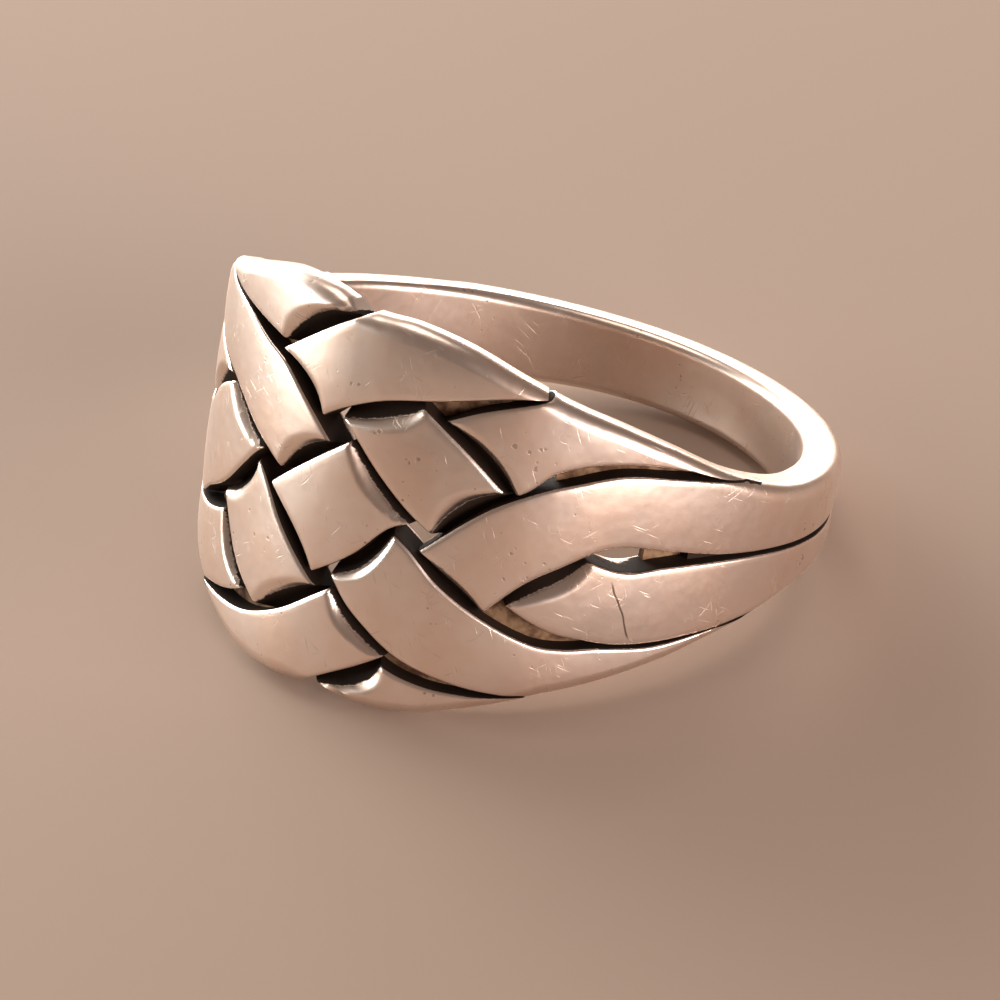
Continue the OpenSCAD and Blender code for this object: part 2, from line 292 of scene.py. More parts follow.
def add_ribbon(piece, turns, slant, mid, low_at, high_at, edge_low_at, edge_high_at, overs, drop,
               belly=BELLY, rows=FACE_ROWS):
    """Adds a ribbon's root, two walls, two rounded edges and face to the chart."""
    def meets(edge_at):
        along = edge_at(turns)
        for _ in range(SETTLING_ROUNDS):
            along = (along + edge_at(turns + slant * (along - mid))) / 2
        return along

    low, high = meets(low_at), meets(high_at)
    wide = np.maximum(high - low, SLIVER)
    start = edge_low_at(turns + slant * (low - mid))
    end = edge_high_at(turns + slant * (high - mid))
    fit = np.minimum(1, EDGES_AT_MOST * wide / (start + end))
    start, end = start * fit, end * fit
    face = wide - start - end
    arc = np.radians(np.linspace(0, 90, EDGE_ROWS + 1))
    columns = [(low, start, 0, 0), (low, start, SKIRT, 1)]
    columns += [(low + start * (1 - np.cos(a)), start * (1 - np.sin(a)), 0, 1) for a in arc[:-1]]
    columns += [(low + start + share * face, 0 * face, 0, 1) for share in np.linspace(0, 1, rows)]
    columns += [(low + wide - end * (1 - np.cos(a)), end * (1 - np.sin(a)), 0, 1)
                for a in arc[::-1][1:]]
    columns += [(low + wide, end, SKIRT, 1), (low + wide, end, 0, 0)]
    along = np.stack([column[0] for column in columns], 1)
    below = np.stack([column[1] for column in columns], 1)
    skin = np.array([column[3] for column in columns], float)[None, :] + 0 * along
    turn = turns[:, None] + slant[:, None] * (along - mid[:, None])
    into_rim = np.clip(WORN_RIM - (band_half(signed(turn)) - np.abs(along)), 0, WORN_RIM)
    below = np.maximum(below, WORN_RIM - np.sqrt(WORN_RIM ** 2 - into_rim ** 2))
    below = below + np.array([column[2] for column in columns])
    across = 2 * (along - low[:, None]) / wide[:, None] - 1
    thumb = THUMB_UP if piece < len(STRIPS) / 2 else THUMB_DOWN
    run = DIP_RUN * (THUMB_EDGE + (thumb - THUMB_EDGE) * np.clip(1 - across ** 2, 0, 1))
    hollowed = belly * np.minimum(1, wide / WIDE_STRIP)[:, None] * across ** 2
    sides, base = len(columns), chart_size()
    chart["turn"].append(turn.ravel())
    chart["along"].append(along.ravel())
    chart["rim"].append(band_half(signed(turn)).ravel())
    chart["skin"].append(skin.ravel())
    chart["below"].append(((below + drop[:, None] + hollowed) * skin).ravel())
    chart["press"].append((press(overs, turn, along, run) * skin).ravel())
    chart["inset"].append((-(ROOT_DEPTH + ROOT_STEP * piece) * (1 - skin)).ravel())
    for k in range(len(turns) - 1):
        for j in range(sides):
            one, two = base + k * sides + j, base + k * sides + (j + 1) % sides
            chart_faces.append((one, one + sides, two + sides, two))
            chart_piece.append(piece)
    chart_faces.append(tuple(base + j for j in range(sides)))
    chart_faces.append(tuple(base + (len(turns) - 1) * sides + j for j in range(sides - 1, -1, -1)))
    chart_piece.extend([piece, piece])


# %% [markdown]
# The outer strips run out past the rims, so a ribbon is trimmed there, and its trimmed
# side gets the wider rounding of a rim worn by years on a finger, which grows as the
# strip nears it.

# %% Draw the six strips
BEFORE_RIM, RIM_RUN = 0.35, 0.45
TAIL_START = GROOVE_END - 5


def draw_strip(piece, path, first, last, overs):
    turns = stations(first * STEP, last * STEP, piece)

    def rim(turn):
        return band_half(turn) - STAGGER * (piece + 1)

    def low(turn):
        return path_mid(path, turn) - path_half(path, turn)

    def high(turn):
        return path_mid(path, turn) + path_half(path, turn)

    def rounding(past_rim):
        return STRIP_EDGE + (WORN_RIM - STRIP_EDGE) * ease((past_rim + BEFORE_RIM) / RIM_RUN)

    tail = ease((np.abs(turns) - TAIL_START) / (STRIP_STOP - TAIL_START))
    add_ribbon(piece, turns, slant_for(overs, turns), path_mid(path, turns),
               lambda turn: np.clip(low(turn), -rim(turn), rim(turn) - SLIVER),
               lambda turn: np.clip(high(turn), -rim(turn) + SLIVER, rim(turn)),
               lambda turn: rounding(-rim(turn) - low(turn)),
               lambda turn: rounding(high(turn) - rim(turn)),
               overs, STAGGER * (piece + 1) + TAIL_SINK * tail)


for piece, (path, first, last, overs) in enumerate(STRIPS):
    draw_strip(piece, path, first, last, overs)
print("chart points after the strips:", chart_size())


# %% Draw the webs and the floor of the shank
THIN_FROM, THIN_RUN = 45, 45


def band_t(turn):
    return SHANK_T + (HEAD_T - SHANK_T) * (1 - ease((np.abs(turn) - THIN_FROM) / THIN_RUN))


def draw_web(piece, first, last, low, high):
    turns = stations(first * STEP, last * STEP, piece)

    def kept(place):
        rim = band_half(turns) - RIM_EDGE - STAGGER * (piece + 1)
        return lambda turn: np.clip(place * RISE + 0 * turn, -rim, rim)

    def edge(turn):
        return STRIP_EDGE + 0 * turn

    add_ribbon(piece, turns, 0 * turns, 0 * turns, kept(low), kept(high), edge, edge, [],
               band_t(turns) - WEB_T + STAGGER * (piece + 1), belly=0, rows=6)


for number, (first, last, low, high) in enumerate(WEBS + RESIDUE):
    draw_web(len(STRIPS) + number, first, last, low, high)

FLOOR = len(STRIPS) + len(WEBS + RESIDUE)
FLOOR_LAYERS = 9
turns = stations(FLOOR_START, 360 - FLOOR_START, FLOOR)
risen = ease((np.abs(signed(turns)) - GROOVE_FADE) / (GROOVE_END - GROOVE_FADE))
rim = band_half(signed(turns)) - FLOOR_LAYERS * STAGGER * (1 - risen)


def worn(turn):
    return WORN_RIM + 0 * turn


add_ribbon(FLOOR, turns, 0 * turns, 0 * turns, lambda turn: -rim, lambda turn: rim, worn, worn, [],
           GROOVE_DEPTH * (1 - risen))
print("chart points:", chart_size(), "faces:", len(chart_faces))

# %% [markdown]
# ## The cutter for the finger hole
#
# The hole is a plain cylinder whose two mouths are rounded over, so that the ring slides
# over a knuckle. The mouths follow the rim, which swings out at the head, so the cutter
# is drawn on the same chart.

# %% Draw the cutter
MOUTH_EDGE, PAST_RIM, FLARE, CORE = 0.3, 1.5, 1.2, 2.0
CUTTER = FLOOR + 1
cut_turns = np.arange(0, 360, 1.0) + 0.37
cut_rim = band_half(signed(cut_turns))
mouth = [(MOUTH_EDGE * (1 - math.sin(a)), MOUTH_EDGE * (1 - math.cos(a)))
         for a in np.radians(np.linspace(0, 82, 8))]
cut_columns = [(-cut_rim - PAST_RIM, -CORE), (-cut_rim - PAST_RIM, MOUTH_EDGE + FLARE)]
cut_columns += [(-cut_rim + from_rim, inset) for from_rim, inset in mouth[::-1]]
cut_columns += [(share * (cut_rim - MOUTH_EDGE), 0.0) for share in np.linspace(-0.96, 0.96, 15)]
cut_columns += [(cut_rim - from_rim, inset) for from_rim, inset in mouth]
cut_columns += [(cut_rim + PAST_RIM, MOUTH_EDGE + FLARE), (cut_rim + PAST_RIM, -CORE)]
base = chart_size()
sides, count = len(cut_columns), len(cut_turns)
chart["turn"].append(np.repeat(cut_turns, sides))
chart["rim"].append(np.repeat(cut_rim, sides))
chart["along"].append(np.stack([along for along, inset in cut_columns], 1).ravel())
chart["inset"].append(np.tile([inset for along, inset in cut_columns], count))
for name in ("skin", "below", "press"):
    chart[name].append(np.zeros(count * sides))
for k in range(count):
    following = (k + 1) % count
    for j in range(sides):
        after = (j + 1) % sides
        chart_faces.append((base + k * sides + j, base + following * sides + j,
                            base + following * sides + after, base + k * sides + after))
        chart_piece.append(CUTTER)
print("with the cutter:", chart_size(), "points")

# %% [markdown]
# The chart becomes one mesh. Its points stand at (turn, along, height) for now, and the
# numbers that the wrapping needs go with them as attributes.

# %% One mesh for the whole chart
chart_mesh = bpy.data.meshes.new("unrolled_band")
chart = {name: np.concatenate(parts) for name, parts in chart.items()}
flat = np.stack([np.radians(chart["turn"]) * BORE_R, chart["along"], chart["inset"]], axis=1) * MM
chart_mesh.from_pydata(flat.tolist(), [], chart_faces)
UNITS = {"turn": math.radians(1), "along": MM, "rim": MM, "skin": 1, "below": MM, "press": 1, "inset": MM}
for name, scale in UNITS.items():
    layer = chart_mesh.attributes.new(name, "FLOAT", "POINT")
    layer.data.foreach_set("value", (chart[name] * scale).astype(np.float32))
layer = chart_mesh.attributes.new("piece", "INT", "FACE")
layer.data.foreach_set("value", chart_piece)
chart_mesh.update()
ring = bpy.data.objects.new("braided_ring_cast", chart_mesh)
bpy.context.scene.collection.objects.link(ring)
print("chart mesh:", len(chart_mesh.vertices), "points,", len(chart_mesh.polygons), "faces")

# %% [markdown]
# ## How the ring rests
#
# Laid down by itself, the ring leans on the lower rim of its broad head and on one point
# of its shank. Three touching points give the floor's direction, and with it the turn
# that lays the ring down.

# %% The lean and lift of the resting ring
def on_band(turn, along, radius):
    a = math.radians(turn)
    return Vector((radius * math.sin(a), -radius * math.cos(a), along))


BACK_TURN = 165
left = on_band(-STEP, -float(band_half(np.array(-STEP))), BORE_R)
right = on_band(STEP, -float(band_half(np.array(STEP))), BORE_R)
back = on_band(BACK_TURN, -float(band_half(np.array(BACK_TURN))), BORE_R + SHANK_T - RIM_EDGE)
up = (right - back).cross(left - back).normalized()
up = up if up.z > 0 else -up
lean_angle = math.acos(up.z)
lean_axis = up.cross(Vector((0, 0, 1))).normalized()
front_y = -(BORE_R + HEAD_T) * math.cos(lean_angle) - HEAD_HALF * math.sin(lean_angle)
back_y = (BORE_R + SHANK_T) * math.cos(lean_angle) + SHANK_HALF * math.sin(lean_angle)
lay_down = Matrix.Rotation(lean_angle, 4, lean_axis)
lift = Vector((0, -(front_y + back_y) / 2, -back.dot(up))) * MM
print("finger axis:", [round(v, 6) for v in lay_down.to_3x3() @ Vector((0, 0, 1))])
print("lean in degrees:", round(math.degrees(lean_angle), 2),
      "lift in mm:", [round(v / MM, 4) for v in lift])

# %% [markdown]
# ## Wrapping, melting and boring with Geometry Nodes
#
# The node tree does what the casting did. It wraps the chart round the finger at the
# radius that the sizes give, unites the pieces one after another in a repeat zone, cuts
# the finger hole, marks the crisp edges and lays the ring down. Its sizes are named
# inputs, so the head can be made thicker or the dips deeper without redrawing anything.

# %% Helpers that place and join nodes
def add_node(tree, kind, **settings):
    node = tree.nodes.new(kind)
    for name, value in settings.items():
        setattr(node, name, value)
    return node


def link(tree, source, target):
    tree.links.new(source, target)


def calculate(tree, operation, first, second=None, third=None, clamp=False):
    node = add_node(tree, "ShaderNodeMath", operation=operation, use_clamp=clamp)
    for socket, value in zip(node.inputs, (first, second, third)):
        if isinstance(value, (int, float)):
            socket.default_value = value
        elif value is not None:
            link(tree, value, socket)
    return node.outputs[0]


def times(tree, first, second, clamp=False):
    return calculate(tree, "MULTIPLY", first, second, clamp=clamp)


def calculate_vector(tree, operation, first, second=None, third=None, output="Vector"):
    node = add_node(tree, "ShaderNodeVectorMath", operation=operation)
    for socket, value in zip(node.inputs, (first, second, third)):
        if isinstance(value, tuple):
            socket.default_value = value
        elif value is not None:
            link(tree, value, socket)
    return node.outputs[output]


def between(tree, value, low, high, to_low=0.0, to_high=1.0):
    """A soft step: to_low below low, to_high above high."""
    node = add_node(tree, "ShaderNodeMapRange", interpolation_type="SMOOTHSTEP")
    link(tree, value, node.inputs["Value"])
    node.inputs["From Min"].default_value = low
    node.inputs["From Max"].default_value = high
    node.inputs["To Min"].default_value = to_low
    node.inputs["To Max"].default_value = to_high
    return node.outputs["Result"]


def add_input(tree, name, kind, value=None):
    socket = tree.interface.new_socket(name, in_out="INPUT", socket_type="NodeSocket" + kind)
    if value is not None:
        socket.default_value = value


def attribute(tree, name, kind="FLOAT"):
    node = add_node(tree, "GeometryNodeInputNamedAttribute", data_type=kind)
    node.inputs["Name"].default_value = name
    return node.outputs["Attribute"]


# %% The casting tree and its inputs
cast = bpy.data.node_groups.new("Cast the ring", "GeometryNodeTree")
add_input(cast, "Chart", "Geometry")
for name, value in (("Bore radius", BORE_R * MM), ("Head thickness", HEAD_T * MM),
                    ("Shank thickness", SHANK_T * MM), ("Crown", CROWN * MM), ("Dip", DIP * MM)):
    add_input(cast, name, "Float", value)
add_input(cast, "Pieces", "Int", FLOOR + 1)
add_input(cast, "Lay down", "Vector")
add_input(cast, "Lift", "Vector")
add_input(cast, "Metal", "Material")
cast.interface.new_socket("Ring", in_out="OUTPUT", socket_type="NodeSocketGeometry")
given = add_node(cast, "NodeGroupInput")
result = add_node(cast, "NodeGroupOutput")

turn = attribute(cast, "turn")
along = attribute(cast, "along")
skin = attribute(cast, "skin")
wrapped_turn = calculate(cast, "ABSOLUTE", calculate(cast, "WRAP", turn, math.pi, -math.pi))
print("sockets of the casting tree:", [item.name for item in cast.interface.items_tree])

# %% [markdown]
# Wrapping gives each point of the chart a radius: the hole, the thickness there, a slight
# dome across the head, less what the point lies below the face or is pressed down.

# %% Wrap the chart round the finger
DOME_FROM, DOME_RUN = 30, 60


def falls_off(start_degrees, length_degrees):
    start, end = math.radians(start_degrees), math.radians(start_degrees + length_degrees)
    return between(cast, wrapped_turn, start, end, 1, 0)


extra = calculate(cast, "SUBTRACT", given.outputs["Head thickness"], given.outputs["Shank thickness"])
thickness = calculate(cast, "MULTIPLY_ADD", extra, falls_off(THIN_FROM, THIN_RUN),
                      given.outputs["Shank thickness"])
span = attribute(cast, "rim")
share = calculate(cast, "DIVIDE", along, span)
dome = calculate(cast, "SUBTRACT", 1.0, times(cast, share, share))
dome = times(cast, times(cast, dome, falls_off(DOME_FROM, DOME_RUN)), given.outputs["Crown"])
sunk = calculate(cast, "MULTIPLY_ADD", attribute(cast, "press"), given.outputs["Dip"],
                 attribute(cast, "below"))
height = calculate(cast, "SUBTRACT", calculate(cast, "ADD", thickness, dome), sunk)
height = calculate(cast, "MULTIPLY_ADD", height, skin, attribute(cast, "inset"))
radius = calculate(cast, "ADD", height, given.outputs["Bore radius"])
placed = add_node(cast, "ShaderNodeCombineXYZ")
link(cast, times(cast, radius, calculate(cast, "SINE", turn)), placed.inputs["X"])
link(cast, times(cast, times(cast, radius, calculate(cast, "COSINE", turn)), -1.0),
     placed.inputs["Y"])
link(cast, along, placed.inputs["Z"])
wrap = add_node(cast, "GeometryNodeSetPosition")
link(cast, given.outputs["Chart"], wrap.inputs["Geometry"])
link(cast, placed.outputs["Vector"], wrap.inputs["Position"])
print("nodes with the wrapping:", len(cast.nodes))


# %% Unite the pieces and bore the hole
def only_piece(number):
    """The part of the wrapped chart that belongs to one piece."""
    same = add_node(cast, "FunctionNodeCompare", data_type="INT", operation="EQUAL")
    link(cast, attribute(cast, "piece", "INT"), same.inputs[2])
    if isinstance(number, int):
        same.inputs[3].default_value = number
    else:
        link(cast, number, same.inputs[3])
    part = add_node(cast, "GeometryNodeSeparateGeometry", domain="FACE")
    link(cast, wrap.outputs["Geometry"], part.inputs["Geometry"])
    link(cast, same.outputs["Result"], part.inputs["Selection"])
    return part.outputs["Selection"]


melt_in = add_node(cast, "GeometryNodeRepeatInput")
melt_out = add_node(cast, "GeometryNodeRepeatOutput")
melt_in.pair_with_output(melt_out)
link(cast, calculate(cast, "SUBTRACT", given.outputs["Pieces"], 1.0), melt_in.inputs["Iterations"])
link(cast, only_piece(0), melt_in.inputs["Geometry"])
join = add_node(cast, "GeometryNodeMeshBoolean", operation="UNION", solver="MANIFOLD")
link(cast, only_piece(calculate(cast, "ADD", melt_in.outputs["Iteration"], 1.0)), join.inputs["Mesh 2"])
link(cast, melt_in.outputs["Geometry"], join.inputs["Mesh 2"])
link(cast, join.outputs["Mesh"], melt_out.inputs["Geometry"])
bore = add_node(cast, "GeometryNodeMeshBoolean", operation="DIFFERENCE", solver="MANIFOLD")
link(cast, melt_out.outputs["Geometry"], bore.inputs["Mesh 1"])
link(cast, only_piece(given.outputs["Pieces"]), bore.inputs["Mesh 2"])
print("nodes with the boring:", len(cast.nodes))

# %% [markdown]
# The silver will need to know where it is on the ring. While the ring still stands
# upright, its height over the hole, its place and the steepness of its faces are stored.

# %% Crisp edges, and what the silver needs to know
CRISP_ANGLE = math.radians(32)


def noted(geometry, name, value, kind="FLOAT", domain="POINT"):
    """The same geometry with one more attribute stored on it."""
    node = add_node(cast, "GeometryNodeStoreNamedAttribute", data_type=kind, domain=domain)
    node.inputs["Name"].default_value = name
    link(cast, geometry, node.inputs["Geometry"])
    if isinstance(value, (int, float)):
        node.inputs["Value"].default_value = value
    else:
        link(cast, value, node.inputs["Value"])
    return node.outputs["Geometry"]


smooth = add_node(cast, "GeometryNodeSetShadeSmooth", domain="FACE")
link(cast, bore.outputs["Mesh"], smooth.inputs["Geometry"])
crisp = add_node(cast, "GeometryNodeSetShadeSmooth", domain="EDGE")
crisp.inputs["Shade Smooth"].default_value = False
edge_angle = add_node(cast, "GeometryNodeInputMeshEdgeAngle")
link(cast, smooth.outputs["Geometry"], crisp.inputs["Geometry"])
link(cast, calculate(cast, "GREATER_THAN", edge_angle.outputs["Unsigned Angle"], CRISP_ANGLE),
     crisp.inputs["Selection"])

where = add_node(cast, "GeometryNodeInputPosition").outputs["Position"]
apart = add_node(cast, "ShaderNodeSeparateXYZ")
link(cast, where, apart.inputs["Vector"])
flat_radius = calculate(cast, "SQRT", calculate(
    cast, "ADD", times(cast, apart.outputs["X"], apart.outputs["X"]),
    times(cast, apart.outputs["Y"], apart.outputs["Y"])))
over_hole = calculate(cast, "SUBTRACT", flat_radius, given.outputs["Bore radius"])
known = noted(crisp.outputs["Geometry"], "height",
              calculate(cast, "DIVIDE", over_hole, given.outputs["Head thickness"]))
known = noted(known, "upright", where, kind="FLOAT_VECTOR")
facing = add_node(cast, "GeometryNodeInputNormal").outputs["Normal"]
outward = calculate_vector(cast, "NORMALIZE", calculate_vector(cast, "MULTIPLY", where, (1, 1, 0)))
faced_out = calculate_vector(cast, "DOT_PRODUCT", facing, outward, output="Value")
steep = calculate(cast, "SUBTRACT", 1.0, calculate(cast, "ABSOLUTE", faced_out))
known = noted(known, "steep", steep, domain="FACE")
print("nodes with the stored numbers:", len(cast.nodes))

# %% [markdown]
# A polishing wheel reaches the proud faces and leaves the hollows dark. The tree feels for
# hollows as a finger would: from every point it sends a fan of short rays outwards, and
# counts how many soon hit metal again. The rays are spread evenly over a sphere and then
# pushed towards the surface's own direction, so open directions count most.

# %% Feel for the hollows
GOLDEN_TURN = math.radians(137.50776)
RAY_START = 0.012 * MM
TOWARDS_NORMAL = 1.05
add_input(cast, "Hollow reach", "Float", 1.1 * MM)
add_input(cast, "Rays", "Int", 72)
feel_in = add_node(cast, "GeometryNodeRepeatInput")
feel_out = add_node(cast, "GeometryNodeRepeatOutput")
feel_in.pair_with_output(feel_out)
link(cast, given.outputs["Rays"], feel_in.inputs["Iterations"])
link(cast, noted(known, "hollow", 0), feel_in.inputs["Geometry"])
number = calculate(cast, "ADD", feel_in.outputs["Iteration"], 0.5)
rise_of_ray = calculate(cast, "SUBTRACT", 1.0, calculate(
    cast, "DIVIDE", times(cast, number, 2.0), given.outputs["Rays"]))
reach_of_ray = calculate(cast, "SQRT", calculate(
    cast, "SUBTRACT", 1.0, times(cast, rise_of_ray, rise_of_ray)))
turn_of_ray = times(cast, number, GOLDEN_TURN)
spread = add_node(cast, "ShaderNodeCombineXYZ")
link(cast, times(cast, reach_of_ray, calculate(cast, "COSINE", turn_of_ray)), spread.inputs["X"])
link(cast, times(cast, reach_of_ray, calculate(cast, "SINE", turn_of_ray)), spread.inputs["Y"])
link(cast, rise_of_ray, spread.inputs["Z"])
outwards = calculate_vector(cast, "MULTIPLY_ADD", facing, (TOWARDS_NORMAL,) * 3, spread.outputs["Vector"])
step_off = calculate_vector(cast, "MULTIPLY_ADD", facing, (RAY_START,) * 3, where)
ray = add_node(cast, "GeometryNodeRaycast")
link(cast, feel_in.outputs["Geometry"], ray.inputs["Target Geometry"])
link(cast, step_off, ray.inputs["Source Position"])
link(cast, outwards, ray.inputs["Ray Direction"])
link(cast, given.outputs["Hollow reach"], ray.inputs["Ray Length"])
closeness = calculate(cast, "SUBTRACT", 1.0, calculate(
    cast, "DIVIDE", ray.outputs["Hit Distance"], given.outputs["Hollow reach"]))
felt = calculate(cast, "DIVIDE", times(cast, closeness, ray.outputs["Is Hit"]), given.outputs["Rays"])
tally = calculate(cast, "ADD", attribute(cast, "hollow"), felt)
link(cast, noted(feel_in.outputs["Geometry"], "hollow", tally), feel_out.inputs["Geometry"])

# %% Lay the ring down and dress it
turned = add_node(cast, "FunctionNodeEulerToRotation")
link(cast, given.outputs["Lay down"], turned.inputs[0])
lay = add_node(cast, "GeometryNodeTransform")
link(cast, feel_out.outputs["Geometry"], lay.inputs["Geometry"])
link(cast, turned.outputs[0], lay.inputs["Rotation"])
link(cast, given.outputs["Lift"], lay.inputs["Translation"])
real = add_node(cast, "GeometryNodeRealizeInstances")
dress = add_node(cast, "GeometryNodeSetMaterial")
link(cast, lay.outputs["Geometry"], real.inputs["Geometry"])
link(cast, real.outputs["Geometry"], dress.inputs["Geometry"])
link(cast, given.outputs["Metal"], dress.inputs["Material"])
link(cast, dress.outputs["Geometry"], result.inputs["Ring"])
print("nodes in the casting tree:", len(cast.nodes))

# %% [markdown]
# The tree is run once on the chart. Its result becomes a plain mesh and the modifier goes,
# so what is left is an ordinary piece that anyone can open and edit.

# %% Cast the ring
silver = bpy.data.materials.new("worn_silver")
sockets = {item.name: item.identifier for item in cast.interface.items_tree if item.in_out == "INPUT"}
modifier = ring.modifiers.new("Cast", "NODES")
modifier.node_group = cast
modifier[sockets["Lay down"]] = tuple(lay_down.to_euler())
modifier[sockets["Lift"]] = tuple(lift)
modifier[sockets["Metal"]] = silver
bpy.context.view_layer.update()
cast_mesh = bpy.data.meshes.new_from_object(ring.evaluated_get(bpy.context.evaluated_depsgraph_get()))
cast_mesh.name = "braided_ring_cast"
ring.modifiers.remove(modifier)
ring.data = cast_mesh
bpy.data.meshes.remove(chart_mesh)
corners = np.array([v.co for v in cast_mesh.vertices])
cast_mesh.materials.clear()
cast_mesh.materials.append(silver)
cast_mesh.polygons.foreach_set("material_index", [0] * len(cast_mesh.polygons))
felt_depth = np.zeros(len(cast_mesh.vertices), np.float32)
cast_mesh.attributes["hollow"].data.foreach_get("value", felt_depth)
print("hollow: mean", round(float(felt_depth.mean()), 3), "most", round(float(felt_depth.max()), 3))
print("cast mesh:", len(cast_mesh.vertices), "points,",
      sum(len(p.vertices) - 2 for p in cast_mesh.polygons), "triangles")
print("box in mm:", (corners.min(0) / MM).round(2), (corners.max(0) / MM).round(2))

# %% [markdown]
# ## The silver
#
# Old silver is not one grey. The proud faces are polished but carry fine scratches and
# small pits, their shine is uneven, the hollows hold black tarnish with a fuzzy border,
# and brown wax and dust sit on the sunk webs. The inside of the hole is painted darker,
# as painted shade. Each of these is a mask, worked out from the ring's own attributes and
# from noise on its Object coordinates, and the masks mix the colour, the roughness, the
# metalness and the bump.

# %% Helpers for a material's nodes
def grain(tree, vector, scale, detail=3.0, rough=0.55):
    node = add_node(tree, "ShaderNodeTexNoise")
    link(tree, vector, node.inputs["Vector"])
    node.inputs["Scale"].default_value = scale
    node.inputs["Detail"].default_value = detail
    node.inputs["Roughness"].default_value = rough
    return node.outputs["Fac"]


def mixed(tree, factor, first, second):
    node = add_node(tree, "ShaderNodeMix", data_type="RGBA")
    link(tree, factor, node.inputs["Factor"])
    for socket, value in ((node.inputs[6], first), (node.inputs[7], second)):
        if isinstance(value, tuple):
            socket.default_value = value
        else:
            link(tree, value, socket)
    return node.outputs[2]


# %% Scratches in one direction, as a group used several times
scratches = bpy.data.node_groups.new("Fine scratches", "ShaderNodeTree")
add_input(scratches, "Place", "Vector")
add_input(scratches, "Turn", "Vector")
for name, value in (("Width", 0.03 * MM), ("Length", 1.6 * MM), ("Amount", 0.3)):
    add_input(scratches, name, "Float", value)
scratches.interface.new_socket("Scratch", in_out="OUTPUT", socket_type="NodeSocketFloat")
come = add_node(scratches, "NodeGroupInput")
go = add_node(scratches, "NodeGroupOutput")
swung = add_node(scratches, "ShaderNodeVectorRotate", rotation_type="EULER_XYZ")
link(scratches, come.outputs["Place"], swung.inputs["Vector"])
link(scratches, come.outputs["Turn"], swung.inputs["Rotation"])
drawn = add_node(scratches, "ShaderNodeCombineXYZ")
parts = add_node(scratches, "ShaderNodeSeparateXYZ")
link(scratches, swung.outputs["Vector"], parts.inputs["Vector"])
for axis, stretch in (("X", "Length"), ("Y", "Width"), ("Z", "Width")):
    scaled = calculate(scratches, "DIVIDE", parts.outputs[axis], come.outputs[stretch])
    link(scratches, scaled, drawn.inputs[axis])
streak = grain(scratches, drawn.outputs["Vector"], 1.0, 1.0, 0.4)
patchy = grain(scratches, come.outputs["Place"], 1 / (1.4 * MM), 2.0, 0.5)
keep = between(scratches, patchy, 0.5, 0.62)
edge = calculate(scratches, "SUBTRACT", 0.86, times(scratches, come.outputs["Amount"], 0.4))
sharp = times(scratches, calculate(scratches, "SUBTRACT", streak, edge), 18.0, clamp=True)
link(scratches, times(scratches, sharp, keep, clamp=True), go.inputs["Scratch"])
print("scratch group:", len(scratches.nodes), "nodes")

# %% Colours, and the numbers stored on the ring
PROUD_SILVER, DEEP_SILVER = (0.92, 0.81, 0.74, 1), (0.86, 0.69, 0.59, 1)
HALO_BROWN, MARK_BROWN, JOIN_BROWN = (0.36, 0.25, 0.19, 1), (0.34, 0.24, 0.19, 1), (0.1, 0.06, 0.045, 1)
# The brown for the inside of the hole is a painted shade, not a film on the metal.
TARNISH_BLACK, BORE_SHADE_BROWN = (0.026, 0.015, 0.010, 1), (0.42, 0.32, 0.26, 1)
DARK_WAX, PALE_WAX = (0.11, 0.052, 0.028, 1), (0.33, 0.205, 0.12, 1)
silver.use_nodes = True
metal = silver.node_tree
shader = metal.nodes["Principled BSDF"]
place = add_node(metal, "ShaderNodeTexCoord").outputs["Object"]


def read_attribute(name, output="Fac"):
    return add_node(metal, "ShaderNodeAttribute", attribute_name=name).outputs[output]


hollow = read_attribute("hollow")
height = read_attribute("height")
which_piece = read_attribute("piece")
outside = between(metal, height, 0.0, 0.08)
print("nodes that read the ring:", len(metal.nodes))

# %% [markdown]
# Tarnish stays where a hollow is felt, and more so on steep walls and low down in a dip.
# Two grains of noise make its border fuzzy. Wax covers the webs, all but a few small spots.

# %% Tarnish and wax
fuzz = calculate(metal, "MULTIPLY_ADD", grain(metal, place, 1 / (0.12 * MM), 5.0, 0.7), 0.36, -0.18)
slow_fuzz = calculate(metal, "MULTIPLY_ADD", grain(metal, place, 1 / (0.8 * MM), 2.0, 0.5), 0.2, -0.1)
enclosed = between(metal, hollow, 0.02, 0.07)
wall = between(metal, read_attribute("steep"), 0.4, 0.75, 0.0, 0.3)
low_down = between(metal, height, 0.62, 0.94, 0.34, 0.0)
in_dip = times(metal, calculate(metal, "MAXIMUM", wall, low_down), enclosed)
depth = hollow
for part in (in_dip, fuzz, slow_fuzz):
    depth = calculate(metal, "ADD", depth, part)
tarnish = times(metal, between(metal, depth, 0.18, 0.3), outside, clamp=True)
halo = times(metal, between(metal, depth, 0.08, 0.3), outside, clamp=True)
is_web = times(metal, calculate(metal, "GREATER_THAN", which_piece, len(STRIPS) - 0.5),
               calculate(metal, "LESS_THAN", which_piece, FLOOR - 0.5))
crumbs = grain(metal, place, 1 / (0.22 * MM), 4.0, 0.6)
wax = times(metal, is_web, times(metal, between(metal, crumbs, 0.24, 0.36), outside), clamp=True)
print("nodes with tarnish and wax:", len(metal.nodes))

# %% Scratches on the skin, laid round the finger and along it
round_it = add_node(metal, "ShaderNodeSeparateXYZ")
link(metal, read_attribute("upright", "Vector"), round_it.inputs["Vector"])
turn_here = calculate(metal, "ARCTAN2", round_it.outputs["X"], times(metal, round_it.outputs["Y"], -1.0))
along_here = round_it.outputs["Z"]
skin_place = add_node(metal, "ShaderNodeCombineXYZ")
link(metal, times(metal, turn_here, (BORE_R + HEAD_T) * MM), skin_place.inputs["X"])
link(metal, along_here, skin_place.inputs["Y"])

